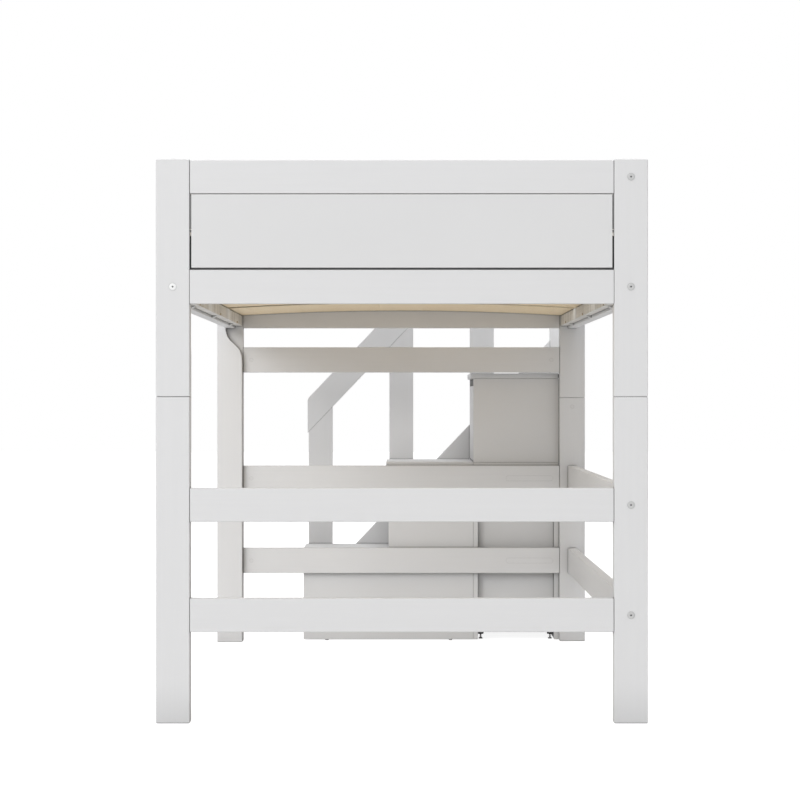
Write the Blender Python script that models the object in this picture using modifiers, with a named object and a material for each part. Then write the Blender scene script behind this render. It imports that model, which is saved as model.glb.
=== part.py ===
"""Loft bed with a storage staircase across its far end.

Metres, +Z up. X runs across the bed and +Y from its near end to the staircase.
The origin is on the floor, under the middle of the whole object.
Run with: blender --background --python part.py
"""
import math

import bmesh
import bpy
from mathutils import Vector

COLLECTION = "loft_bed_with_staircase"

# Frame of the bed
HALF_WIDTH = 0.6625
BED_LENGTH = 2.085
POST_TOP = 1.520
LEG_TOP = 0.880            # seam between a lower leg and the post above it
BOARD_HEIGHT = 0.091       # height of every rail, and width of every post
BOARD = 0.031              # thickness of every rail
POST_DEPTH = 0.045
SIDE_RAIL_INNER = 0.6012   # half of the clear width between the long sides
LEG_PLATE = 0.028          # thickness of the shaped plates beside the left legs
NECK_WIDTH = 0.030         # what is left of a leg plate above its curve
PLATE_WIDTH = 0.089
# Inner edge of a leg plate from the straight part up to the neck: (above the floor, curve 0 to 1)
PLATE_CURVE = ((1.000, 0.0), (1.030, 0.03), (1.051, 0.14), (1.069, 0.41),
               (1.087, 0.75), (1.103, 0.92), (1.122, 1.0))

# Infill panels between the bed rails and the guard rails
INFILL = 0.018
INFILL_BOTTOM = 1.2272
INFILL_TOP = 1.4252
INFILL_END_GAP = 0.0045
LIP = 0.009                # rear lip of a bed rail, behind its infill panel

# Undersides of the rails
GUARD_LEVEL = 1.4265
BED_LEVEL = 1.1305
STEP_LEVEL = 0.9703
MID_LEVEL = 0.5428
LOW_LEVEL = 0.2460

# Entry from the staircase
STILE_LEFT = 0.170

# Slatted base
LEDGER_WIDTH = 0.0264
LEDGER_BOTTOM = 1.1386
LEDGER_TOP = 1.1747
SLAT_THICKNESS = 0.0085
SLAT_CAMBER = 0.0187
SLAT_PANEL_LENGTH = 0.600
SLAT_END_CLEARANCE = 0.0015
SLATS_PER_PANEL = 7
SLOT_WIDTH = 0.012
SLAT_COLUMNS = 16          # steps across the camber
BRIDGES = (0, 7, 8, 15)    # steps left uncut, where the slats stay joined

# Staircase
RISE = 0.3225
GOING = 0.308
FIRST_RISER_X = -0.3547
STAIR_WIDTH = 0.438
STAIR_END_X = 0.5677
BOX_END_X = 0.5703          # the column and the top drawer's box reach nearer to the post
STAIR_GAP = 0.0015         # between the bed and the staircase
COLUMN_X = 0.2608
CARCASS = 0.0165
TREAD = 0.0187
NOSING = 0.0085
GLIDE = 0.004              # height of the side panels above the floor
COLUMN_BOTTOM = 0.0275
BACK_SETBACK = 0.030
BACK_THICKNESS = 0.008

# Drawers
DRAWER_FRONT = 0.016
FRONT_HEIGHT = 0.273
FRONT_LIFT = 0.0045
SIDE_CLEARANCE = 0.002     # beside a drawer front
RUNNER_CLEARANCE = 0.0125  # beside a drawer box
DRAWER_WALL = 0.012
DRAWER_BOTTOM = 0.006
BOX_LIFT = 0.010
BOX_HEIGHT = 0.205
LOW_DRAWER_LENGTH = 0.560
STEP_DRAWER_LENGTH = 0.262

# Handrail
RAIL_SLOPE = RISE / GOING
SLOPED_HEIGHT = 0.1305     # height of a sloping rail, measured plumb
HANDRAIL_START_X = -0.358
HANDRAIL_AT_ZERO = 1.2512  # height of its upper edge at X = 0
LEVEL_TOP = 1.517
HANDRAIL_CORNER = 0.026    # radius of the corner at its lower end
CORNER_STEPS = 6
LOWER_RAIL_START_X = -0.3535
LOWER_RAIL_AT_ZERO = 0.5039
BALUSTER_X = (-0.354, -0.0455, 0.2625)
NEWEL_X = 0.568

# Rounding of the edges, and the gap between pieces that touch
BOARD_EDGE = 0.0025
PANEL_EDGE = 0.0012
GAP = 0.0003

POST_INNER = HALF_WIDTH - BOARD_HEIGHT
SIDE_RAIL_OUTER = SIDE_RAIL_INNER + BOARD
LENGTH = BED_LENGTH - POST_DEPTH + BOARD + STAIR_GAP + STAIR_WIDTH + GAP + BOARD
NEAR_Y = -LENGTH / 2
FAR_Y = NEAR_Y + BED_LENGTH
BAY = (NEAR_Y + POST_DEPTH + GAP, FAR_Y - POST_DEPTH - GAP)   # between the posts, along Y
FAR_RAIL_Y = FAR_Y - POST_DEPTH
STAIR_Y = FAR_RAIL_Y + BOARD + STAIR_GAP
STAIR_END_Y = STAIR_Y + STAIR_WIDTH
RAIL_Y = STAIR_END_Y + GAP
RISER_X = [FIRST_RISER_X + step * GOING for step in range(3)]
TREAD_TOP = [RISE * (step + 1) for step in range(3)]

# Colour, roughness and metallic of each finish
FINISHES = {
    "white_paint": ((0.80, 0.80, 0.80), 0.45, 0.0),
    "white_board": ((0.77, 0.77, 0.76), 0.50, 0.0),
    "birch_ply": ((0.66, 0.50, 0.32), 0.55, 0.0),
    "beige_wood": ((0.52, 0.47, 0.41), 0.60, 0.0),
    "drawer_board": ((0.74, 0.73, 0.71), 0.55, 0.0),
}


def clear_scene():
    for old in list(bpy.data.objects):
        bpy.data.objects.remove(old, do_unlink=True)


def add_finish(piece, finish):
    colour, roughness, metallic = FINISHES[finish]
    material = bpy.data.materials.new(piece.name + "_" + finish)
    material.use_nodes = True
    shader = material.node_tree.nodes["Principled BSDF"]
    shader.inputs["Base Color"].default_value = (*colour, 1.0)
    shader.inputs["Roughness"].default_value = roughness
    shader.inputs["Metallic"].default_value = metallic
    piece.data.materials.append(material)


def add_piece(name, shape, place, finish, edge, parent=None):
    """Turn a bmesh into a finished piece, standing at a place or on an unturned parent."""
    mesh = bpy.data.meshes.new(name)
    bmesh.ops.recalc_face_normals(shape, faces=shape.faces[:])
    shape.to_mesh(mesh)
    shape.free()
    piece = bpy.data.objects.new(name, mesh)
    collection.objects.link(piece)
    piece.location = Vector(place)
    if parent:
        piece.parent = parent
        piece.location -= parent.location
    add_finish(piece, finish)
    if edge:
        bevel = piece.modifiers.new("rounded edges", "BEVEL")
        bevel.width = edge
        bevel.segments = 2
        bevel.limit_method = "ANGLE"
    return piece


def board(name, x, y, z, finish="white_paint", edge=BOARD_EDGE, parent=None):
    """A straight board filling the spans x, y and z."""
    low, high = (Vector(corner) for corner in zip(x, y, z))
    shape = bmesh.new()
    bmesh.ops.create_cube(shape, size=1.0)
    bmesh.ops.scale(shape, vec=high - low, verts=shape.verts[:])
    return add_piece(name, shape, (low + high) / 2, finish, edge, parent)


def cut_board(name, outline, along, span, finish="white_paint", edge=BOARD_EDGE):
    """A board sawn to an outline and as thick as the span along X, Y or Z.

    The outline is a list of (Y, Z), (X, Z) or (X, Y) points.
    """
    axis = "XYZ".index(along)

    def corner(point):
        values = list(point)
        values.insert(axis, span[0])
        return Vector(values)

    start = corner(outline[0])
    shape = bmesh.new()
    face = shape.faces.new([shape.verts.new(corner(point) - start) for point in outline])
    thickness = Vector((0.0, 0.0, 0.0))
    thickness[axis] = span[1] - span[0]
    swept = bmesh.ops.extrude_face_region(shape, geom=[face])["geom"]
    moved = [item for item in swept if isinstance(item, bmesh.types.BMVert)]
    bmesh.ops.translate(shape, vec=thickness, verts=moved)
    return add_piece(name, shape, start, finish, edge)


def drawer_box(name, x, y, z, parent):
    """An open-topped box of thin boards."""
    low, high = (Vector(corner) for corner in zip(x, y, z))
    shape = bmesh.new()
    bmesh.ops.create_cube(shape, size=1.0)
    bmesh.ops.scale(shape, vec=high - low, verts=shape.verts[:])
    top = max(shape.faces, key=lambda face: face.calc_center_median().z)
    bmesh.ops.inset_region(shape, faces=[top], thickness=DRAWER_WALL, use_even_offset=True)
    floor = bmesh.ops.extrude_discrete_faces(shape, faces=[top])["faces"][0]
    sink = Vector((0.0, 0.0, DRAWER_BOTTOM - (high.z - low.z)))
    bmesh.ops.translate(shape, vec=sink, verts=floor.verts[:])
    return add_piece(name, shape, (low + high) / 2, "drawer_board", PANEL_EDGE, parent)


def slat_panel(name, start_y):
    """A cambered sheet of slats, parted by slots that stop short of its edges."""
    half = SIDE_RAIL_INNER - SLAT_END_CLEARANCE
    pitch = (SLAT_PANEL_LENGTH + SLOT_WIDTH) / SLATS_PER_PANEL
    rows = []
    for slat in range(SLATS_PER_PANEL):
        rows += [slat * pitch, (slat + 1) * pitch - SLOT_WIDTH]
    shape = bmesh.new()
    grid = []
    for row in rows:
        across = [2 * step / SLAT_COLUMNS - 1 for step in range(SLAT_COLUMNS + 1)]
        grid.append([shape.verts.new((half * u, row, SLAT_CAMBER * (1 - u * u))) for u in across])
    for row in range(len(rows) - 1):
        for step in range(SLAT_COLUMNS):
            if row % 2 == 0 or step in BRIDGES:
                shape.faces.new((grid[row][step], grid[row][step + 1],
                                 grid[row + 1][step + 1], grid[row + 1][step]))
    place = (0.0, start_y, LEDGER_TOP + GAP)
    panel = add_piece(name, shape, place, "birch_ply", 0.0)
    sheet = panel.modifiers.new("sheet", "SOLIDIFY")
    sheet.thickness = SLAT_THICKNESS
    sheet.offset = 1.0
    sheet.use_even_offset = True
    return panel


def above(level):
    """Span of a rail's height above its underside."""
    return (level, level + BOARD_HEIGHT)


def mirrored(span, side):
    """A span of X on the right side of the bed, or the same one on the left."""
    return span if side > 0 else (-span[1], -span[0])


def build_posts():
    for side, hand in ((-1, "left"), (1, "right")):
        across = mirrored((POST_INNER, HALF_WIDTH), side)
        for end, start in (("near", NEAR_Y), ("far", FAR_Y - POST_DEPTH)):
            depth = (start, start + POST_DEPTH)
            board(f"{end}_{hand}_leg", across, depth, (0.0, LEG_TOP - GAP))
            board(f"{end}_{hand}_post", across, depth, (LEG_TOP, POST_TOP))


def build_leg_plates():
    wide = PLATE_WIDTH - HALF_WIDTH
    narrow = NECK_WIDTH - HALF_WIDTH
    curve = [(wide + (narrow - wide) * part, height) for height, part in PLATE_CURVE]
    outline = [(-HALF_WIDTH, 0.0), (wide, 0.0), *curve, (narrow, LEVEL_TOP), (-HALF_WIDTH, LEVEL_TOP)]
    cut_board("near_leg_plate", outline, "Y", (BAY[0], BAY[0] + LEG_PLATE), edge=PANEL_EDGE)
    cut_board("far_leg_plate", outline, "Y", (BAY[1] - LEG_PLATE, BAY[1]), edge=PANEL_EDGE)


def bed_rail(name, along, span, outer, inward):
    """A bed rail with a lip along its inner edge, for the infill panel to stand in front of."""
    inner = outer + inward * BOARD
    lip = outer + inward * (INFILL + GAP)
    low, high = above(BED_LEVEL)
    outline = [(outer, low), (inner, low), (inner, high + LIP), (lip, high + LIP), (lip, high),
               (outer, high)]
    cut_board(name, outline, along, span, edge=PANEL_EDGE)


def infill(name, x, y):
    board(name, x, y, (INFILL_BOTTOM, INFILL_TOP), "white_board", PANEL_EDGE)


def build_near_end():
    across = (-POST_INNER + GAP, POST_INNER - GAP)
    depth = (NEAR_Y, NEAR_Y + BOARD)
    board("near_guard_rail", across, depth, above(GUARD_LEVEL))
    bed_rail("near_bed_rail", "X", across, NEAR_Y, 1)
    board("near_mid_rail", across, depth, above(MID_LEVEL))
    board("near_low_rail", across, depth, above(LOW_LEVEL))
    edge = POST_INNER - INFILL_END_GAP
    infill("near_infill", (-edge, edge), (NEAR_Y, NEAR_Y + INFILL))


def build_far_end():
    across = (-POST_INNER + GAP, POST_INNER - GAP)
    depth = (FAR_RAIL_Y, FAR_RAIL_Y + BOARD)
    guard = (across[0], STILE_LEFT - GAP)
    board("far_guard_rail", guard, depth, above(GUARD_LEVEL))
    bed_rail("far_bed_rail", "X", across, depth[1], -1)
    board("far_step_rail", across, depth, above(STEP_LEVEL))
    board("far_mid_rail", across, depth, above(MID_LEVEL))
    board("far_low_rail", across, depth, above(LOW_LEVEL))
    infill("far_infill", (-POST_INNER + INFILL_END_GAP, STILE_LEFT - INFILL_END_GAP),
           (depth[1] - INFILL, depth[1]))
    stile_bottom = BED_LEVEL + BOARD_HEIGHT + LIP + GAP
    board("entry_stile", (STILE_LEFT, STILE_LEFT + BOARD_HEIGHT), depth, (stile_bottom, POST_TOP))


def build_long_sides():
    rail = (SIDE_RAIL_INNER, SIDE_RAIL_OUTER)
    ledger = (SIDE_RAIL_INNER - GAP - LEDGER_WIDTH, SIDE_RAIL_INNER - GAP)
    for side, hand in ((-1, "left"), (1, "right")):
        board(f"{hand}_guard_rail", mirrored(rail, side), BAY, above(GUARD_LEVEL))
        bed_rail(f"{hand}_bed_rail", "Y", BAY, side * SIDE_RAIL_OUTER, -side)
        panel = mirrored((SIDE_RAIL_OUTER - INFILL, SIDE_RAIL_OUTER), side)
        infill(f"{hand}_infill", panel, (BAY[0] + INFILL_END_GAP, BAY[1] - INFILL_END_GAP))
        board(f"{hand}_ledger", mirrored(ledger, side), BAY, (LEDGER_BOTTOM, LEDGER_TOP),
              "beige_wood", PANEL_EDGE)
    board("right_mid_rail", rail, BAY, above(MID_LEVEL))
    board("right_low_rail", rail, BAY, above(LOW_LEVEL))


def build_slatted_base():
    start = BAY[0] + SLAT_END_CLEARANCE
    pitch = (BAY[1] - SLAT_END_CLEARANCE - SLAT_PANEL_LENGTH - start) / 2
    for number in range(3):
        slat_panel(f"slat_panel_{number + 1}", start + number * pitch)


def build_treads():
    whole = (STAIR_Y, STAIR_END_Y)
    inside = (STAIR_Y + CARCASS + GAP, STAIR_END_Y - CARCASS - GAP)
    step_x = RISER_X[1] - GAP
    front, end = RISER_X[0] - NOSING, COLUMN_X - GAP
    # The lowest tread runs on between the side panels, as the shelf of the second drawer
    outline = [(front, whole[0]), (step_x, whole[0]), (step_x, inside[0]), (end, inside[0]),
               (end, inside[1]), (step_x, inside[1]), (step_x, whole[1]), (front, whole[1])]
    cut_board("tread_1", outline, "Z", (TREAD_TOP[0] - TREAD, TREAD_TOP[0]), edge=PANEL_EDGE)
    board("tread_2", (RISER_X[1] - NOSING, end), whole,
          (TREAD_TOP[1] - TREAD, TREAD_TOP[1]), edge=PANEL_EDGE)
    board("tread_3", (RISER_X[2] - NOSING, STAIR_END_X), whole,
          (TREAD_TOP[2] - TREAD, TREAD_TOP[2]), edge=PANEL_EDGE)


def build_side_panels():
    under = [top - TREAD - GAP for top in TREAD_TOP]
    end = COLUMN_X - GAP
    stepped = [(RISER_X[0], GLIDE), (end, GLIDE), (end, under[1]), (RISER_X[1], under[1]),
               (RISER_X[1], under[0]), (RISER_X[0], under[0])]
    upper = (TREAD_TOP[1] + GAP, under[2])
    for name, start in (("bed", STAIR_Y), ("room", STAIR_END_Y - CARCASS)):
        depth = (start, start + CARCASS)
        cut_board(f"stair_side_{name}", stepped, "Y", depth, "white_board", PANEL_EDGE)
        board(f"box_side_{name}", (RISER_X[2], BOX_END_X), depth, upper, "white_board",
              PANEL_EDGE)
    board("box_end", (BOX_END_X - CARCASS, BOX_END_X),
          (STAIR_Y + CARCASS + GAP, STAIR_END_Y - CARCASS - GAP), upper, "white_board", PANEL_EDGE)


def build_column():
    whole = (STAIR_Y, STAIR_END_Y)
    top = TREAD_TOP[1] - TREAD
    side_height, height = (GLIDE, top - GAP), (COLUMN_BOTTOM, top - GAP)
    left = (COLUMN_X, COLUMN_X + CARCASS)
    right = (BOX_END_X - CARCASS, BOX_END_X)
    between = (left[1] + GAP, right[0] - GAP)
    back = (STAIR_Y + BACK_SETBACK, STAIR_Y + BACK_SETBACK + BACK_THICKNESS)
    board("column_left", left, whole, side_height, "white_board", PANEL_EDGE)
    board("column_right", right, whole, side_height, "white_board", PANEL_EDGE)
    board("column_back", between, back, height, "white_board", PANEL_EDGE)
    board("column_base", between, (back[1] + GAP, STAIR_END_Y),
          (COLUMN_BOTTOM, COLUMN_BOTTOM + CARCASS), "white_board", PANEL_EDGE)
    board("column_top", (COLUMN_X, BOX_END_X), whole, (top, top + TREAD), edge=PANEL_EDGE)


def build_drawer(number, front_x, shelf, length):
    front_y = (STAIR_Y + CARCASS + SIDE_CLEARANCE, STAIR_END_Y - CARCASS - SIDE_CLEARANCE)
    box_y = (STAIR_Y + CARCASS + RUNNER_CLEARANCE, STAIR_END_Y - CARCASS - RUNNER_CLEARANCE)
    box_x = front_x + DRAWER_FRONT + GAP
    bottom = shelf + FRONT_LIFT
    front = board(f"drawer_{number}_front", (front_x, front_x + DRAWER_FRONT), front_y,
                  (bottom, bottom + FRONT_HEIGHT), edge=PANEL_EDGE)
    drawer_box(f"drawer_{number}_box", (box_x, box_x + length), box_y,
               (shelf + BOX_LIFT, shelf + BOX_LIFT + BOX_HEIGHT), front)


def build_handrail():
    """Handrail, lower rail, balusters and newel, all in one plane beside the steps."""
    depth = (RAIL_Y, RAIL_Y + BOARD)

    def upper(x):
        return HANDRAIL_AT_ZERO + RAIL_SLOPE * x

    def lower(x):
        return LOWER_RAIL_AT_ZERO + RAIL_SLOPE * x

    def where(height):
        return (height - HANDRAIL_AT_ZERO) / RAIL_SLOPE

    def underside(x):
        return min(upper(x) - SLOPED_HEIGHT, level_bottom)

    # The handrail rises with the steps, then runs level to the newel
    end = NEWEL_X - GAP
    start = HANDRAIL_START_X
    level_bottom = LEVEL_TOP - BOARD_HEIGHT
    bend = where(level_bottom + SLOPED_HEIGHT)
    slope = math.atan(RAIL_SLOPE)
    reach = HANDRAIL_CORNER * math.tan((math.pi / 2 - slope) / 2)
    centre = (start + HANDRAIL_CORNER, upper(start) - reach)
    corner = []
    for step in range(CORNER_STEPS + 1):
        turn = math.pi / 2 + slope + (math.pi / 2 - slope) * step / CORNER_STEPS
        corner.append((centre[0] + HANDRAIL_CORNER * math.cos(turn),
                       centre[1] + HANDRAIL_CORNER * math.sin(turn)))
    outline = [(start, underside(start)), (bend, level_bottom), (end, level_bottom),
               (end, LEVEL_TOP), (where(LEVEL_TOP), LEVEL_TOP), *corner]
    cut_board("handrail", outline, "Y", depth, edge=PANEL_EDGE)

    start = LOWER_RAIL_START_X
    outline = [(start, lower(start) - SLOPED_HEIGHT), (end, lower(end) - SLOPED_HEIGHT),
               (end, lower(end)), (start, lower(start))]
    cut_board("lower_rail", outline, "Y", depth, edge=PANEL_EDGE)

    for number, left in enumerate(BALUSTER_X):
        right = left + BOARD_HEIGHT
        top = [(left, underside(left) - GAP)]
        if left < bend < right:
            top.append((bend, level_bottom - GAP))
        top.append((right, underside(right) - GAP))
        outline = [(right, lower(right) + GAP), (left, lower(left) + GAP), *top]
        cut_board(f"baluster_{number + 1}", outline, "Y", depth, edge=PANEL_EDGE)
    board("newel", (NEWEL_X, NEWEL_X + BOARD_HEIGHT), depth, (0.0, LEVEL_TOP))


clear_scene()
collection = bpy.data.collections.new(COLLECTION)
bpy.context.scene.collection.children.link(collection)

build_posts()
build_leg_plates()
build_near_end()
build_far_end()
build_long_sides()
build_slatted_base()
build_treads()
build_side_panels()
build_column()
build_drawer(1, RISER_X[0], 0.0, LOW_DRAWER_LENGTH)
build_drawer(2, RISER_X[1], TREAD_TOP[0], STEP_DRAWER_LENGTH)
build_drawer(3, RISER_X[2], TREAD_TOP[1], STEP_DRAWER_LENGTH)
build_handrail()
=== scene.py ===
import math

import bmesh
import bpy
from mathutils import Matrix, Vector


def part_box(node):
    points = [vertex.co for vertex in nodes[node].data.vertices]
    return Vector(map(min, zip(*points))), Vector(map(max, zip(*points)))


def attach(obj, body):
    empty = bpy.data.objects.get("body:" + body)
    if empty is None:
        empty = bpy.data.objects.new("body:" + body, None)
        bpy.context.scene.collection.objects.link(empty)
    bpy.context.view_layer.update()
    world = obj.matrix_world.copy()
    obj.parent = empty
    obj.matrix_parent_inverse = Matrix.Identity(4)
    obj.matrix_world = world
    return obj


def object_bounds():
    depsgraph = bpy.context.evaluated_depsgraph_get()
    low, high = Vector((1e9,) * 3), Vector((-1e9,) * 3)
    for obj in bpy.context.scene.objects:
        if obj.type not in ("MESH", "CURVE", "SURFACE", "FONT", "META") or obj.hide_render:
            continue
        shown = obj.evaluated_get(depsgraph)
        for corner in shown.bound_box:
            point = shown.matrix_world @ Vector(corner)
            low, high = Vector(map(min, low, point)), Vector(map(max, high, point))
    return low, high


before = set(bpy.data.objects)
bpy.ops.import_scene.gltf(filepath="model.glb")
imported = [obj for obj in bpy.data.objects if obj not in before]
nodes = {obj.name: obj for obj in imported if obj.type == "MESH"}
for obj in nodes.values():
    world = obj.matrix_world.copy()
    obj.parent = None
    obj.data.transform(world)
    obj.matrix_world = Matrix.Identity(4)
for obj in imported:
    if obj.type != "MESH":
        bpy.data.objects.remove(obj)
cad_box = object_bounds()

MM = 0.001
X, Y, Z = (Vector(axis) for axis in ((1, 0, 0), (0, 1, 0), (0, 0, 1)))
HANDS = ((-1, "left"), (1, "right"))
ENDS = ("near", "far")
CLEARANCE = 0.15 * MM               # between a small part and the surface it sits on
STEP_RISE, STEP_RUN = 0.3225, 0.308
SHARP_TURN = math.radians(35)       # least turn of an edge that stays sharp on a small part
SLAT_CORNER = math.radians(30)      # and on a slat panel
FACE_WEIGHT = 100                   # how far a large face sets the shading at its corners
WELD_REACH = 0.01 * MM

SEAM = 6 * MM                       # reach of the painted shade in a seam
SEAM_OPENNESS = (0.45, 0.95)        # from full shade to none
SEAM_SHADE = 0.5
CORNER = 0.12                       # reach of the softer shade in an inner corner
CORNER_SHADE = 0.70
OPENNESS_SAMPLES = 8
PLY = 1.45 * MM                     # thickness of one ply of the slat panels
SLAT_CAMBER = 18.7 * MM             # rise of a slat panel's middle above its sides
END_SHADE_REACH = 3 * MM                 # depth of the painted shade on the edge at a slat panel's near end
TIMBER_BLOCK = 0.21                 # length of one finger-jointed block


# ---------------------------------------------------------------- materials

class Finish:
    """A node material under construction."""

    def __init__(self, name, colour, roughness, metallic=0.0):
        self.material = bpy.data.materials.new(name)
        self.material.use_nodes = True
        self.tree = self.material.node_tree
        self.shader = self.tree.nodes["Principled BSDF"]
        self.shader.inputs["Base Color"].default_value = (*colour, 1.0)
        self.shader.inputs["Roughness"].default_value = roughness
        self.shader.inputs["Metallic"].default_value = metallic
        self.shader.inputs["Specular IOR Level"].default_value = 0.4
        self.coords = self.tree.nodes.new("ShaderNodeTexCoord").outputs["Object"]

    def node(self, kind, **settings):
        node = self.tree.nodes.new(kind)
        for key, value in settings.items():
            setattr(node, key, value)
        return node

    def link(self, source, target):
        self.tree.links.new(source, target)

    def stretched(self, scale, turn):
        """Coordinates turned, then stretched along each axis, in cycles per metre."""
        turned = self.node("ShaderNodeMapping")
        turned.inputs["Rotation"].default_value = turn
        self.link(self.coords, turned.inputs["Vector"])
        scaled = self.node("ShaderNodeMapping")
        scaled.inputs["Scale"].default_value = scale
        self.link(turned.outputs["Vector"], scaled.inputs["Vector"])
        return scaled.outputs["Vector"]

    def noise(self, scale, detail, roughness=0.55, distortion=0.0, turn=(0, 0, 0)):
        noise = self.node("ShaderNodeTexNoise")
        noise.inputs["Scale"].default_value = 1.0
        noise.inputs["Detail"].default_value = detail
        noise.inputs["Roughness"].default_value = roughness
        noise.inputs["Distortion"].default_value = distortion
        self.link(self.stretched(scale, turn), noise.inputs["Vector"])
        return noise.outputs["Fac"]

    def remap(self, value, low, high, to_low, to_high):
        span = self.node("ShaderNodeMapRange")
        for name, number in (("From Min", low), ("From Max", high), ("To Min", to_low),
                             ("To Max", to_high)):
            span.inputs[name].default_value = number
        self.link(value, span.inputs["Value"])
        return span.outputs["Result"]

    def math(self, operation, first, second=0.0):
        node = self.node("ShaderNodeMath", operation=operation)
        for socket, value in zip(node.inputs, (first, second)):
            if isinstance(value, (int, float)):
                socket.default_value = value
            else:
                self.link(value, socket)
        return node.outputs["Value"]

    def blend(self, amount, first, second, how="MIX"):
        mix = self.node("ShaderNodeMix", data_type="RGBA", blend_type=how)
        for socket, value in ((mix.inputs["Factor"], amount), (mix.inputs["A"], first),
                              (mix.inputs["B"], second)):
            if isinstance(value, tuple):
                socket.default_value = (*value, 1.0)
            elif isinstance(value, (int, float)):
                socket.default_value = value
            else:
                self.link(value, socket)
        return mix.outputs["Result"]

    def openness(self, reach):
        """How clear the surface is of other surfaces within a reach, 0 to 1."""
        probe = self.node("ShaderNodeAmbientOcclusion", samples=OPENNESS_SAMPLES)
        probe.inputs["Distance"].default_value = reach
        return probe.outputs["AO"]

    def colour_from(self, colour, corner_shade=CORNER_SHADE):
        """Lay a colour on, with painted shade in the seams between boards and towards inner
        corners.
        """
        # painted shade: the colour is darkened where other surfaces close in, strongly within a
        # seam's reach, softly within an inner corner's
        seam = self.remap(self.openness(SEAM), *SEAM_OPENNESS, SEAM_SHADE, 1.0)
        corner = self.remap(self.openness(CORNER), 0.0, 1.0, corner_shade, 1.0)
        shade = self.node("ShaderNodeCombineColor")
        both = self.math("MULTIPLY", seam, corner)
        for channel in shade.inputs:
            self.link(both, channel)
        self.link(self.blend(1.0, colour, shade.outputs["Color"], "MULTIPLY"),
                  self.shader.inputs["Base Color"])

    def roughness_from(self, value):
        self.link(value, self.shader.inputs["Roughness"])

    def parts_of(self, vector):
        """The X, Y and Z outputs of a vector."""
        split = self.node("ShaderNodeSeparateXYZ")
        self.link(vector, split.inputs["Vector"])
        return split.outputs

    def bump_from(self, *layers):
        """Bump from (height, distance in metres) layers, each laid over the last."""
        normal = None
        for height, distance in layers:
            bump = self.node("ShaderNodeBump")
            bump.inputs["Strength"].default_value = 1.0
            bump.inputs["Distance"].default_value = distance
            self.link(height, bump.inputs["Height"])
            if normal:
                self.link(normal, bump.inputs["Normal"])
            normal = bump.outputs["Normal"]
        self.link(normal, self.shader.inputs["Normal"])


def along(axis, slow, fast):
    """A scale that is slow along one axis and fast across it."""
    return tuple(slow if index == axis else fast for index in range(3))


def even(scale):
    """The same scale along every axis."""
    return (scale, scale, scale)


def shaded(colour, share):
    return tuple(channel * share for channel in colour)


def painted_wood(name, axis, colour, turn=(0, 0, 0)):
    """Sprayed satin paint over planed wood, with the grain just showing through."""
    finish = Finish(name, colour, 0.45)
    cloud = finish.noise(even(2.2), 2.0)
    grain = finish.noise(along(axis, 3.0, 95.0), 5.0, 0.62, 0.4, turn=turn)
    pores = finish.noise(along(axis, 26.0, 900.0), 2.0, 0.5, turn=turn)
    peel = finish.noise(even(620.0), 1.0)
    tone = finish.blend(finish.remap(grain, 0.3, 0.7, 0.0, 1.0), shaded(colour, 0.987),
                        shaded(colour, 1.006))
    tone = finish.blend(finish.remap(cloud, 0.35, 0.65, 0.0, 0.35), tone, colour)
    finish.colour_from(tone)
    finish.roughness_from(finish.remap(cloud, 0.3, 0.7, 0.38, 0.52))
    finish.bump_from((grain, 0.00004), (pores, 0.00002), (peel, 0.00001))
    return finish.material


def sheet_paint(name, colour):
    """Lacquered board: no grain, only a faint roller texture."""
    finish = Finish(name, colour, 0.4)
    cloud = finish.noise(even(1.7), 2.0)
    roller = finish.noise(even(380.0), 2.0, 0.5)
    finish.colour_from(finish.blend(finish.remap(cloud, 0.35, 0.65, 0.0, 1.0),
                                    shaded(colour, 0.985), colour))
    finish.roughness_from(finish.remap(roller, 0.3, 0.7, 0.36, 0.46))
    finish.bump_from((roller, 0.00003))
    return finish.material


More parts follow.
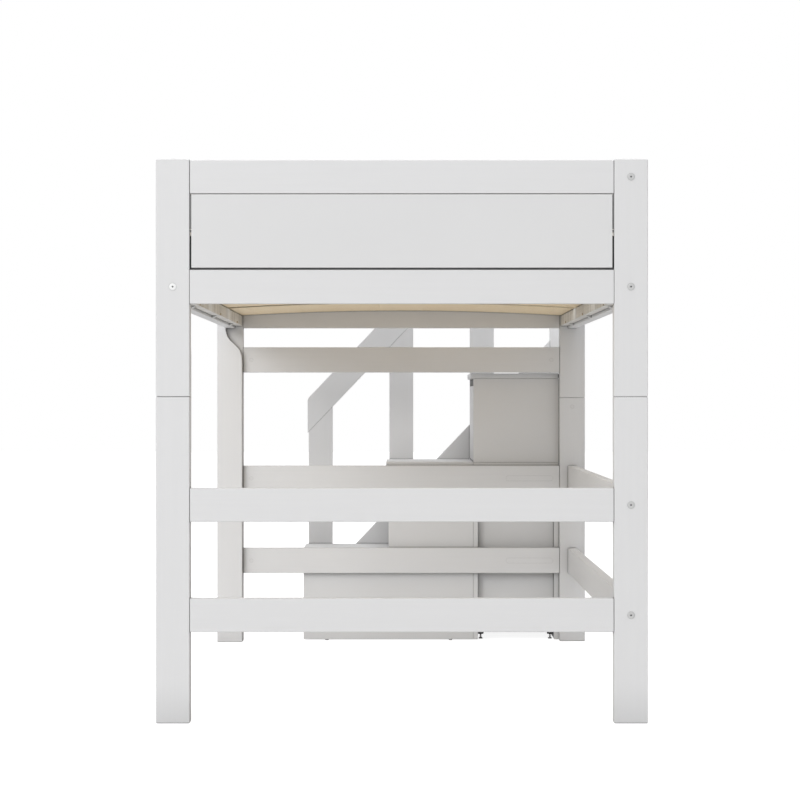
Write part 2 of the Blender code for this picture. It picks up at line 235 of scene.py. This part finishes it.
def veneer(name, light, dark, half, bottom, first, pitch):
    """Birch plywood: veneer on its faces, plies on its edges, and painted shade on the edges at
    its near ends.

    The panels reach half to each side of X = 0 and are arched up from the bottom. Their near
    ends lie at first, first + pitch and so on along Y.
    """
    finish = Finish(name, light, 0.5)
    figure = finish.noise((1.6, 11.0, 11.0), 4.0, 0.55, 1.2)
    fibre = finish.noise((9.0, 420.0, 420.0), 4.0, 0.6)
    pores = finish.noise((60.0, 1500.0, 1500.0), 1.0)
    tone = finish.blend(finish.remap(figure, 0.35, 0.68, 0.0, 1.0), light, dark)
    tone = finish.blend(finish.remap(fibre, 0.35, 0.75, 0.0, 0.55), tone, shaded(dark, 0.86))
    tone = finish.blend(finish.remap(pores, 0.62, 0.75, 0.0, 0.3), tone, shaded(dark, 0.6))
    place = finish.parts_of(finish.coords)
    across = finish.math("DIVIDE", place["X"], half)
    lift = finish.math("MULTIPLY", finish.math("SUBTRACT", 1.0, finish.math(
        "MULTIPLY", across, across)), SLAT_CAMBER)
    height = finish.math("SUBTRACT", finish.math("SUBTRACT", place["Z"], bottom), lift)
    plies = finish.math("FRACT", finish.math("DIVIDE", height, 2 * PLY))
    stripe = finish.remap(finish.math("PINGPONG", plies, 0.5), 0.2, 0.3, 0.0, 1.0)
    cut_tone = finish.blend(stripe, shaded(dark, 0.72), shaded(dark, 0.95))
    # painted shade: the near end edges, seen through the gaps between panels, are made much
    # darker, with their plies still showing
    end_shade_tone = finish.blend(stripe, shaded(dark, 0.22), shaded(dark, 0.5))
    past_end = finish.math("FRACT", finish.math("DIVIDE", finish.math(
        "SUBTRACT", place["Y"], first - MM), pitch))
    is_end = finish.math("LESS_THAN", past_end, END_SHADE_REACH / pitch)
    edge_tone = finish.blend(is_end, cut_tone, end_shade_tone)
    facing = finish.parts_of(finish.node("ShaderNodeNewGeometry").outputs["True Normal"])
    is_edge = finish.remap(finish.math("ABSOLUTE", facing["Z"]), 0.5, 0.6, 1.0, 0.0)
    finish.colour_from(finish.blend(is_edge, tone, edge_tone), corner_shade=1.0)
    finish.roughness_from(finish.remap(fibre, 0.3, 0.7, 0.42, 0.6))
    finish.bump_from((fibre, 0.00010), (pores, 0.00005))
    return finish.material


def washed_wood(name, light, dark):
    """Finger-jointed softwood under a thin wash: each block along Y has its own tone."""
    finish = Finish(name, light, 0.6)
    number = finish.math("FLOOR", finish.math("DIVIDE", finish.parts_of(finish.coords)["Y"],
                                              TIMBER_BLOCK))
    random = finish.node("ShaderNodeTexWhiteNoise", noise_dimensions="1D")
    finish.link(number, random.inputs["W"])
    grain = finish.noise((160.0, 5.0, 160.0), 4.0, 0.6, 0.6)
    painted_slat_shadows = finish.noise((0.5, 16.0, 0.5), 2.0, 0.6)
    tone = finish.blend(finish.remap(grain, 0.3, 0.72, 0.0, 1.0), light, dark)
    tone = finish.blend(finish.remap(random.outputs["Value"], 0.0, 1.0, 0.0, 0.35), tone, dark)
    # painted shadow: darker bands along Y stand in for the shadows the slats cast on the ledger
    tone = finish.blend(finish.remap(painted_slat_shadows, 0.42, 0.6, 0.0, 0.6), tone, shaded(dark, 0.74))
    finish.colour_from(tone)
    finish.roughness_from(finish.remap(grain, 0.3, 0.7, 0.5, 0.68))
    finish.bump_from((grain, 0.00012))
    return finish.material


def metal(name, colour, roughness, brushed=even(300.0)):
    """Plated steel with fine wear."""
    finish = Finish(name, colour, roughness, 1.0)
    scratches = finish.noise(brushed, 3.0, 0.6)
    cloud = finish.noise(even(40.0), 2.0)
    finish.colour_from(finish.blend(finish.remap(cloud, 0.3, 0.7, 0.0, 1.0),
                                    shaded(colour, 0.86), colour))
    finish.roughness_from(finish.remap(scratches, 0.25, 0.75, roughness * 0.75,
                                       roughness * 1.35))
    finish.bump_from((scratches, 0.00002))
    return finish.material


def plastic(name, colour, roughness):
    """Moulded plastic with a fine spark-eroded texture."""
    finish = Finish(name, colour, roughness)
    texture = finish.noise(even(1400.0), 2.0)
    cloud = finish.noise(even(60.0), 2.0)
    finish.colour_from(finish.blend(finish.remap(cloud, 0.3, 0.7, 0.0, 1.0),
                                    shaded(colour, 0.95), colour))
    finish.roughness_from(finish.remap(texture, 0.3, 0.7, roughness * 0.9, roughness * 1.15))
    finish.bump_from((texture, 0.00003))
    return finish.material


WHITE = (0.745, 0.745, 0.750)
BOARD_WHITE = (0.735, 0.735, 0.738)
DRAWER_WHITE = (0.70, 0.69, 0.67)
paint = {axis: painted_wood(f"paint_grain_{letter}", axis, WHITE)
         for axis, letter in enumerate("xyz")}
sloped_paint = painted_wood("paint_grain_sloped", 0, WHITE,
                            turn=(0.0, math.atan2(STEP_RISE, STEP_RUN), 0.0))
lacquer = sheet_paint("lacquered_board", BOARD_WHITE)
drawer_board = sheet_paint("drawer_board", DRAWER_WHITE)
slat_low, slat_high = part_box("slat_panel_1")
birch = veneer("birch_plywood", (0.97, 0.80, 0.55), (0.93, 0.75, 0.49), slat_high.x, slat_low.z,
               slat_low.y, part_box("slat_panel_2")[0].y - slat_low.y)
ledger_wood = washed_wood("ledger_wood", (0.83, 0.81, 0.775), (0.75, 0.73, 0.69))
zinc = metal("zinc_plated_steel", (0.62, 0.62, 0.63), 0.32)
runner_steel = metal("runner_steel", (0.60, 0.61, 0.63), 0.30, (12.0, 800.0, 800.0))
white_plastic = plastic("white_plastic", (0.72, 0.72, 0.72), 0.35)
bright_plastic = plastic("bright_plastic", (0.93, 0.93, 0.93), 0.35)
grey_plastic = plastic("grey_plastic", (0.42, 0.42, 0.43), 0.45)
# dark plastic for the foot sockets and cap holes, and painted shade for the dark strips and
# block in the gaps
dark_plastic_and_painted_shade = plastic("dark_plastic_and_painted_shade", (0.045, 0.045, 0.048), 0.5)
cap_plastic = plastic("cap_plastic", (0.60, 0.60, 0.60), 0.4)
yellow_zinc = metal("yellow_screw", (0.56, 0.45, 0.30), 0.4)

UPRIGHT = ("leg", "post", "plate", "baluster", "newel", "stile")
ALONG_Y = ("left_guard", "right_guard", "left_bed", "right_bed", "right_mid", "right_low",
           "drawer_1_front", "drawer_2_front", "drawer_3_front", "tread")
BOARDS = ("infill", "stair_side", "box_", "column_left", "column_right", "column_back",
          "column_base")


def finish_of(name):
    if name.startswith("slat_panel"):
        return birch
    if name.endswith("ledger"):
        return ledger_wood
    if name.startswith("drawer") and name.endswith("box"):
        return drawer_board
    if name in ("handrail", "lower_rail"):
        return sloped_paint
    if any(word in name for word in BOARDS):
        return lacquer
    if any(word in name for word in UPRIGHT):
        return paint[2]
    if name.startswith(ALONG_Y):
        return paint[1]
    return paint[0]


for name, node in nodes.items():
    node.data.materials.clear()
    node.data.materials.append(finish_of(name))
    for face in node.data.polygons:
        face.use_smooth = True
    weld = node.modifiers.new("weld", "WELD")
    weld.merge_threshold = WELD_REACH
    if name.startswith("slat_panel"):
        corners = node.modifiers.new("sharp corners", "EDGE_SPLIT")
        corners.split_angle = SLAT_CORNER
    normals = node.modifiers.new("weighted normals", "WEIGHTED_NORMAL")
    normals.weight = FACE_WEIGHT


# ---------------------------------------------------------------- small parts

def add(name, mesh, material, place=(0, 0, 0), towards=Z, body="bed", edge=0.0):
    """Stand a mesh at a place with its own Z turned towards a direction, on a body."""
    piece = bpy.data.objects.new(name, mesh)
    bpy.context.scene.collection.objects.link(piece)
    piece.data.materials.append(material)
    turn = Vector(towards).to_track_quat("Z", "Y").to_matrix().to_4x4()
    piece.matrix_world = Matrix.Translation(Vector(place)) @ turn
    if edge:
        bevel = piece.modifiers.new("edges", "BEVEL")
        bevel.width = edge
        bevel.segments = 2
        bevel.limit_method = "ANGLE"
    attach(piece, body)
    return piece


def finished(name, shape, smooth=False):
    """The mesh of a shape, its faces turned outwards and, if asked, smooth between them."""
    bmesh.ops.recalc_face_normals(shape, faces=shape.faces[:])
    if smooth:
        for face in shape.faces:
            face.smooth = True
        for seam in shape.edges:
            seam.smooth = seam.calc_face_angle(0.0) < SHARP_TURN
    mesh = bpy.data.meshes.new(name)
    shape.to_mesh(mesh)
    shape.free()
    return mesh


def turned(name, profile, steps=40):
    """A lathe-turned mesh from (radius, height) points."""
    shape = bmesh.new()
    rings = []
    for radius, height in profile:
        angles = [math.tau * step / steps for step in range(steps)] if radius else [0.0]
        rings.append([shape.verts.new((radius * math.cos(angle), radius * math.sin(angle),
                                       height)) for angle in angles])
    for lower, upper in zip(rings, rings[1:]):
        for step in range(steps):
            following = (step + 1) % steps
            if len(lower) == 1:
                shape.faces.new((lower[0], upper[following], upper[step]))
            elif len(upper) == 1:
                shape.faces.new((lower[step], lower[following], upper[0]))
            else:
                shape.faces.new((lower[step], lower[following], upper[following], upper[step]))
    return finished(name, shape, smooth=True)


def profile_bar(name, outline, length):
    """An outline in (Y, Z), drawn out along X from 0 to its length."""
    shape = bmesh.new()
    start, end = ([shape.verts.new((x, y, z)) for y, z in outline] for x in (0.0, length))
    shape.faces.new(start)
    shape.faces.new(end)
    for corner in range(len(outline)):
        following = (corner + 1) % len(outline)
        shape.faces.new((start[corner], start[following], end[following], end[corner]))
    return finished(name, shape)


def in_mm(points):
    return [(first * MM, second * MM) for first, second in points]


# Turned profiles as (radius, height) and the bracket's as (across, height), in millimetres.
CAP = in_mm([(0, 0.05), (9.3, 0.05), (9.5, 0.5), (8.9, 1.3), (7.2, 1.75), (3.2, 2.0),
             (2.4, 1.7), (1.8, 1.0), (0, 1.0)])
CAP_HOLE = in_mm([(0, 1.1), (1.5, 1.1), (2.1, 1.66), (2.0, 1.72), (0, 1.6)])
PLUG = in_mm([(0, 0.05), (6.4, 0.05), (6.6, 0.25), (6.2, 0.55), (5.2, 0.6), (4.9, 0.35),
              (0, 0.4)])
POST_PLUG = in_mm([(0, 0.05), (8.5, 0.05), (8.5, 1.2), (7.6, 2.0), (4, 2.6), (0, 2.7)])
SCREW = in_mm([(0, -0.5), (1.1, -0.5), (1.3, 0.45), (1.7, 0.6), (3.0, 0.5), (3.4, 0.2),
               (3.4, 0.05), (0, 0.05)])
PIN = in_mm([(0, 0), (3.2, 0), (3.4, 0.3), (3.4, 3.9), (3.2, 4.2), (0, 4.2)])
GLIDE = in_mm([(0, 0), (5.6, 0), (6.4, 0.6), (6.5, 2.6), (5.9, 3.7), (0, 3.7)])
FOOT_PAD = in_mm([(0, 0), (6.4, 0), (7.2, 0.5), (7.4, 2.4), (6.8, 3.6), (4.2, 4.6), (3.6, 6.0),
                  (0, 6.0)])
FOOT_STEM = in_mm([(0, 5.8), (3.1, 5.8), (3.1, 17.4), (0, 17.4)])
FOOT_SOCKET = in_mm([(0, 17.2), (9.6, 17.2), (10.6, 17.8), (11.0, 19.2), (11.0, 26.2),
                     (10.7, 27.0), (0, 27.2)])
PEG = in_mm([(0, 1.8), (0.8, 1.8), (1.1, 2.8), (2.0, 2.6), (2.9, 2.1), (3.3, 1.0), (3.4, 0.05),
             (0, 0.05)])
BRACKET = in_mm([(0, 0), (-13, 0), (-13, -2.2), (-4, -7.2), (0, -7.2)])


FINE = 24                           # steps round a small turned part
BOLTED_RAILS = {"left": ("bed",), "right": ("guard", "bed", "mid", "low")}
BOLT_CAPS = {"left": bright_plastic, "right": cap_plastic}
BED_BOLT_DROP = 4.5 * MM            # below the middle of the bed rail
RAIL_PLUGS = (("step", -1, "left"), ("step", 1, "right"), ("mid", -1, "left"),
              ("low", -1, "left"))
RAIL_PLUG_X = 0.5415
LEG_PLUG_DROP = 33 * MM             # below the top of the leg

INLAY_X = 0.4625
INLAY_LENGTH, INLAY_HEIGHT = 171 * MM, 20 * MM
INLAY_STAND, INLAY_RING = 0.18 * MM, 1.1 * MM
INLAY_CLEARANCE = 0.02 * MM

STRIP_PLAY = 0.5 * MM                # both sides together
STRIP_DEPTH = 7 * MM
STRIP_END = 1 * MM
STRIP_BELOW_PIN, STRIP_ABOVE_PIN = 13 * MM, 6 * MM
PAD_EDGE = 0.8 * MM
GAP_SHADE_DEPTH = 10 * MM
GAP_SHADE_INSET = 18 * MM              # from the tread's near edge to the dark block's middle
GAP_SHADE_TRIM = 5 * MM                # off the tread's thickness

LEDGER_FIXINGS = (0.2927, 1.0177, 1.7307)   # from the ledger's near end
LEDGER_SCREW_HEIGHT = 4.6 * MM
BRACKET_LENGTH = 34 * MM
BRACKET_EDGE = 0.5 * MM

GLIDE_X = (-0.270, 0.178)
FOOT_X = {"left": 0.2895, "right": 0.5425}
FOOT_INSETS = (65 * MM, 40 * MM)    # from the column's bed side and room side

LOWER_CAP_REACH, LOWER_CAP_DROP = 45.5 * MM, 58 * MM
HAND_CAP_RISE, HAND_CAP_DROP = 45 * MM, 46 * MM

RUNNER_RISE = 92 * MM               # above the underside of the drawer's box
RUNNER_INSET = 4 * MM
OUTER_RUNNER = (42 * MM, 7.0 * MM, 1.1 * MM)    # height, depth, wall
INNER_RUNNER = (30 * MM, 6.6 * MM, 1.0 * MM)
RUNNER_LIP = 2.2                    # height of the turned-in lip, in wall thicknesses
DRAWER_SCREW_ROWS = (("low", 45 * MM), ("high", 165 * MM))
DRAWER_SCREW_INSET = 70 * MM
DRAWER_SCREW_DEPTH = 12 * MM


def put_cap(name, material, place, direction):
    """A round cap with a dark hole in its middle."""
    add(name, turned(name, CAP), material, place, direction)
    hole = f"{name}_hole"
    add(hole, turned(hole, CAP_HOLE, FINE), dark_plastic_and_painted_shade, place, direction)


def put_bolts():
    """Capped bolts through the posts into the ends of the long rails."""
    for end in ENDS:
        for _, hand in HANDS:
            low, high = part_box(f"{end}_{hand}_post")
            face, direction = (low.y, -Y) if end == "near" else (high.y, Y)
            for rail in BOLTED_RAILS[hand]:
                bottom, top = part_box(f"right_{rail}_rail")
                height = (bottom.z + top.z) / 2 - (BED_BOLT_DROP if rail == "bed" else 0)
                put_cap(f"bolt_{end}_{hand}_{rail}", BOLT_CAPS[hand],
                        ((low.x + high.x) / 2, face, height), direction)


def put_post_plugs():
    """Domed plugs in the dowel holes on top of the posts."""
    for end in ENDS:
        for _, hand in HANDS:
            name = f"post_plug_{end}_{hand}"
            low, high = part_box(f"{end}_{hand}_post")
            add(name, turned(name, POST_PLUG), white_plastic,
                ((low.x + high.x) / 2, (low.y + high.y) / 2, high.z))


def put_rail_plugs():
    """Plugs over the fixings at the ends of the far rails, and one on the far right leg."""
    for rail, side, hand in RAIL_PLUGS:
        low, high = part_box(f"far_{rail}_rail")
        name = f"rail_plug_{rail}_{hand}"
        add(name, turned(name, PLUG), lacquer,
            (side * RAIL_PLUG_X, low.y, (low.z + high.z) / 2), -Y)
    low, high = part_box("far_right_leg")
    add("leg_plug", turned("leg_plug", PLUG), lacquer,
        ((low.x + high.x) / 2, low.y, high.z - LEG_PLUG_DROP), -Y)


def rounded_slot(name, length, height, depth, ring):
    """A flat ring with round ends, standing out along its own Z."""
    shape = bmesh.new()
    loops = []
    for inset, level in ((0.0, 0.0), (0.0, depth * 0.6), (depth * 0.4, depth), (ring, depth),
                         (ring, 0.0)):
        radius = height / 2 - inset
        loop = []
        for step in range(FINE):
            turn = math.tau * (step + 0.5) / FINE
            shift = (length - height) / 2 * (1 if math.cos(turn) > 0 else -1)
            loop.append(shape.verts.new((shift + radius * math.cos(turn),
                                         radius * math.sin(turn), level)))
        loops.append(loop)
    for first, second in zip(loops, loops[1:] + loops[:1]):
        for step in range(FINE):
            following = (step + 1) % FINE
            shape.faces.new((first[step], first[following], second[following], second[step]))
    return finished(name, shape)


def put_inlays():
    """Filler strips let into the far rails where another fitting can go."""
    for rail in ("mid", "low"):
        name = f"inlay_{rail}"
        low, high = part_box(f"far_{rail}_rail")
        add(name, rounded_slot(name, INLAY_LENGTH, INLAY_HEIGHT, INLAY_STAND, INLAY_RING),
            lacquer, (INLAY_X, low.y - INLAY_CLEARANCE, (low.z + high.z) / 2), -Y)


def put_infill_pins():
    """Pins that hold the ends of the near infill panel between the posts."""
    low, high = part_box("near_infill")
    for side, hand in HANDS:
        name = f"infill_pin_{hand}"
        x = high.x if side > 0 else low.x
        add(name, turned(name, PIN, FINE), white_plastic,
            (x + side * CLEARANCE, (low.y + high.y) / 2, (low.z + high.z) / 2), X * side)


def slab(name, size, material, middle):
    """An upright pad with rounded edges, about its own middle."""
    width, depth, height = size
    outline = [(-depth / 2, -height / 2), (depth / 2, -height / 2), (depth / 2, height / 2),
               (-depth / 2, height / 2)]
    piece = add(name, profile_bar(name, outline, width), material, edge=PAD_EDGE)
    piece.matrix_world = Matrix.Translation(Vector(middle) - X * width / 2)


def put_infill_strips():
    """Strips that fill the gaps beside the near infill: white above its pins, and below them a
    dark strip of painted shade standing in for the shadow in the gap.
    """
    low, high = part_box("near_infill")
    middle = (low + high) / 2
    for side, hand in HANDS:
        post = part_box(f"near_{hand}_post")
        gap = (high.x, post[0].x) if side > 0 else (post[1].x, low.x)
        width = gap[1] - gap[0] - STRIP_PLAY
        for part, bottom, top, material in (
                # painted shade: the dark lower strip stands in for the shadow deep in the gap
                # below the pins
                ("lower", low.z + STRIP_END, middle.z - STRIP_BELOW_PIN, dark_plastic_and_painted_shade),
                ("upper", middle.z + STRIP_ABOVE_PIN, high.z - STRIP_END, white_plastic)):
            slab(f"infill_strip_{hand}_{part}", (width, STRIP_DEPTH, top - bottom), material,
                 ((gap[0] + gap[1]) / 2, middle.y, (bottom + top) / 2))


def put_tread_gap_shade():
    """A dark block between the top tread and the bed's post: painted shade standing in for the
    shadow in the gap.
    """
    tread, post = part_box("tread_3"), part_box("far_right_leg")
    height = tread[1].z - tread[0].z
    # painted shade: a dark block fills the gap where only shadow would be
    slab("tread_gap_shade",
         (post[0].x - tread[1].x - STRIP_PLAY, GAP_SHADE_DEPTH, height - GAP_SHADE_TRIM), dark_plastic_and_painted_shade,
         ((post[0].x + tread[1].x) / 2, tread[0].y + GAP_SHADE_INSET,
          (tread[0].z + tread[1].z) / 2))


def put_ledger_fixings():
    """Brackets under each ledger against its side rail, with the screws that hold them."""
    for side, hand in HANDS:
        low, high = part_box(f"{hand}_ledger")
        inner, outer = (low.x, high.x) if side > 0 else (high.x, low.x)
        for number, y in enumerate(low.y + depth for depth in LEDGER_FIXINGS):
            name = f"ledger_screw_{hand}_{number + 1}"
            add(name, turned(name, PEG, FINE), yellow_zinc,
                (inner, y, low.z + LEDGER_SCREW_HEIGHT), -X * side)
            name = f"ledger_bracket_{hand}_{number + 1}"
            piece = add(name, profile_bar(name, BRACKET, BRACKET_LENGTH), white_plastic,
                        edge=BRACKET_EDGE)
            piece.matrix_world = (
                Matrix.Translation((outer, y + side * BRACKET_LENGTH / 2, low.z - CLEARANCE))
                @ Matrix.Rotation(-side * math.pi / 2, 4, "Z"))


def put_glides():
    """Plastic glides under the side panels of the steps."""
    for panel in ("bed", "room"):
        low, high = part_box(f"stair_side_{panel}")
        for number, x in enumerate(GLIDE_X):
            name = f"glide_{panel}_{number + 1}"
            add(name, turned(name, GLIDE), white_plastic, (x, (low.y + high.y) / 2, 0.0))


def put_feet():
    """Levelling feet under the column: pad, threaded stem and socket."""
    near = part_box("column_top")[0].y + FOOT_INSETS[0]
    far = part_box("column_base")[1].y - FOOT_INSETS[1]
    for depth, y in (("bed", near), ("room", far)):
        for hand, x in FOOT_X.items():
            place = (x, y, 0.0)
            name = f"foot_{depth}_{hand}"
            add(f"{name}_pad", turned(name, FOOT_PAD), grey_plastic, place)
            add(f"{name}_stem", turned(name, FOOT_STEM, FINE), zinc, place)
            add(f"{name}_socket", turned(name, FOOT_SOCKET), dark_plastic_and_painted_shade, place)


def put_handrail_screws():
    """Capped screws on the room side, where the balusters meet the two rails."""
    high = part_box("handrail")[1]
    lower_rise = STEP_RISE / STEP_RUN * LOWER_CAP_REACH - LOWER_CAP_DROP
    for number in (1, 2, 3):
        bottom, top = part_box(f"baluster_{number}")
        x = (bottom.x + top.x) / 2
        for rail, z in (("lower", bottom.z + lower_rise),
                        ("hand", min(top.z + HAND_CAP_RISE, high.z - HAND_CAP_DROP))):
            put_cap(f"{rail}rail_cap_{number}", white_plastic, (x, high.y, z), Y)


def channel(name, size, length):
    """A rolled steel channel along X, open towards +Y."""
    height, depth, wall = size
    half, lip = height / 2, wall * RUNNER_LIP
    outline = [(0, -half), (depth, -half), (depth, -half + lip), (depth - wall, -half + lip),
               (depth - wall, -half + wall), (wall, -half + wall), (wall, half - wall),
               (depth - wall, half - wall), (depth - wall, half - lip), (depth, half - lip),
               (depth, half), (0, half)]
    return profile_bar(name, outline, length)


def put_runners():
    """Steel drawer runners: the outer channel on the side panel, the inner on the drawer."""
    for number, panel in ((1, "stair_side"), (2, "stair_side"), (3, "box_side")):
        low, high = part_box(f"drawer_{number}_box")
        x, z = low.x + RUNNER_INSET, low.z + RUNNER_RISE
        length = high.x - low.x - 2 * RUNNER_INSET
        for side, hand, wall, box_side in (
                (1, "bed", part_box(f"{panel}_bed")[1].y, low.y),
                (-1, "room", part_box(f"{panel}_room")[0].y, high.y)):
            name = f"runner_{number}_{hand}"
            for part, size, body, y, opens in (
                    ("outer", OUTER_RUNNER, "bed", wall + side * CLEARANCE, side),
                    ("inner", INNER_RUNNER, f"drawer_{number}", box_side - side * CLEARANCE,
                     -side)):
                piece = add(f"{name}_{part}", channel(name, size, length), runner_steel,
                            body=body)
                turn = Matrix.Rotation(0.0 if opens > 0 else math.pi, 4, "X")
                piece.matrix_world = Matrix.Translation((x, y, z)) @ turn


def put_drawer_fixings():
    """Screws inside each drawer, through the box into the front."""
    for number in (1, 2, 3):
        low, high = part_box(f"drawer_{number}_box")
        for row, height in DRAWER_SCREW_ROWS:
            for hand, y in (("bed", low.y + DRAWER_SCREW_INSET),
                            ("room", high.y - DRAWER_SCREW_INSET)):
                name = f"drawer_{number}_screw_{row}_{hand}"
                add(name, turned(name, SCREW, FINE), zinc,
                    (low.x + DRAWER_SCREW_DEPTH, y, low.z + height), X, f"drawer_{number}")


put_bolts()
put_post_plugs()
put_rail_plugs()
put_inlays()
put_infill_pins()
put_infill_strips()
put_tread_gap_shade()
put_ledger_fixings()
put_glides()
put_feet()
put_handrail_screws()
put_runners()
put_drawer_fixings()


# ---------------------------------------------------------------- studio

WHITE_LIGHT = (1.0, 1.0, 1.0, 1.0)
SKY_HORIZON = 0.53
SKY_ZENITH = 0.40
SKY_SEEN = 1.0
FLOOR_COLOUR = 0.62
FLOOR_SIZE = 60.0
FLOOR_LEVEL = -0.5 * MM
FLOOR_GLOW = 0.13               # what the floor sends up onto the object
FLOOR_SEEN = 0.85               # lifts the pale floor to white in the picture
SOFTBOX_AIM = Vector((0.0, 0.0, 0.8))
SOFTBOXES = {                   # place, size in metres, power in watts
    "key": ((-11.2, -20.0, 9.3), (12.5, 10.0), 2660.0),
    "top": ((0.0, -0.5, 5.5), (4.0, 4.0), 155.0),
    "back": ((-3.0, 7.0, 4.0), (4.0, 4.0), 90.0),
}
LENS, SENSOR = 100.0, 36.0      # millimetres
CAMERA_X, CAMERA_HEIGHT = -0.005, 0.871
CAMERA_DISTANCE = 5.982         # in front of the bed's near face


def seen_or_lit(tree, seen, lit):
    """A strength that differs between what is seen and what lights the scene."""
    path = tree.nodes.new("ShaderNodeLightPath")
    mix = tree.nodes.new("ShaderNodeMix")
    mix.inputs["B"].default_value = seen
    if isinstance(lit, float):
        mix.inputs["A"].default_value = lit
    else:
        tree.links.new(lit, mix.inputs["A"])
    tree.links.new(path.outputs["Is Camera Ray"], mix.inputs["Factor"])
    return mix.outputs["Result"]


def make_floor():
    finish = bpy.data.materials.new("studio_floor")
    finish.use_nodes = True
    shader = finish.node_tree.nodes["Principled BSDF"]
    shader.inputs["Base Color"].default_value = (*even(FLOOR_COLOUR), 1.0)
    shader.inputs["Roughness"].default_value = 0.9
    shader.inputs["Specular IOR Level"].default_value = 0.0
    shader.inputs["Emission Color"].default_value = WHITE_LIGHT
    finish.node_tree.links.new(seen_or_lit(finish.node_tree, FLOOR_SEEN, FLOOR_GLOW),
                               shader.inputs["Emission Strength"])
    bpy.ops.mesh.primitive_plane_add(size=FLOOR_SIZE, location=(0, 0, FLOOR_LEVEL))
    floor = bpy.context.object
    floor.name = "studio_floor"
    floor.data.materials.append(finish)


def make_world():
    """A soft dome that is brighter at the horizon than overhead."""
    world = bpy.data.worlds.new("studio")
    bpy.context.scene.world = world
    world.use_nodes = True
    tree = world.node_tree
    split = tree.nodes.new("ShaderNodeSeparateXYZ")
    tree.links.new(tree.nodes.new("ShaderNodeTexCoord").outputs["Generated"],
                   split.inputs["Vector"])
    dome = tree.nodes.new("ShaderNodeMapRange")
    dome.inputs["To Min"].default_value = SKY_HORIZON
    dome.inputs["To Max"].default_value = SKY_ZENITH
    tree.links.new(split.outputs["Z"], dome.inputs["Value"])
    backdrop = tree.nodes["Background"]
    backdrop.inputs["Color"].default_value = WHITE_LIGHT
    tree.links.new(seen_or_lit(tree, SKY_SEEN, dome.outputs["Result"]),
                   backdrop.inputs["Strength"])


def make_softboxes():
    for name, (place, size, power) in SOFTBOXES.items():
        data = bpy.data.lights.new(name + "_softbox", "AREA")
        data.shape = "RECTANGLE"
        data.size, data.size_y = size
        data.energy = power
        light = bpy.data.objects.new(data.name, data)
        bpy.context.scene.collection.objects.link(light)
        light.location = place
        aim = SOFTBOX_AIM - Vector(place)
        light.rotation_euler = aim.to_track_quat("-Z", "Y").to_euler()


make_floor()
make_world()
make_softboxes()

camera_data = bpy.data.cameras.new("camera")
camera_data.lens = LENS
camera_data.sensor_width = SENSOR
camera = bpy.data.objects.new("camera", camera_data)
bpy.context.scene.collection.objects.link(camera)
camera.location = (CAMERA_X, cad_box[0].y - CAMERA_DISTANCE, CAMERA_HEIGHT)
camera.rotation_euler = (math.pi / 2, 0.0, 0.0)
bpy.context.scene.camera = camera
bpy.context.scene.view_settings.view_transform = "Standard"
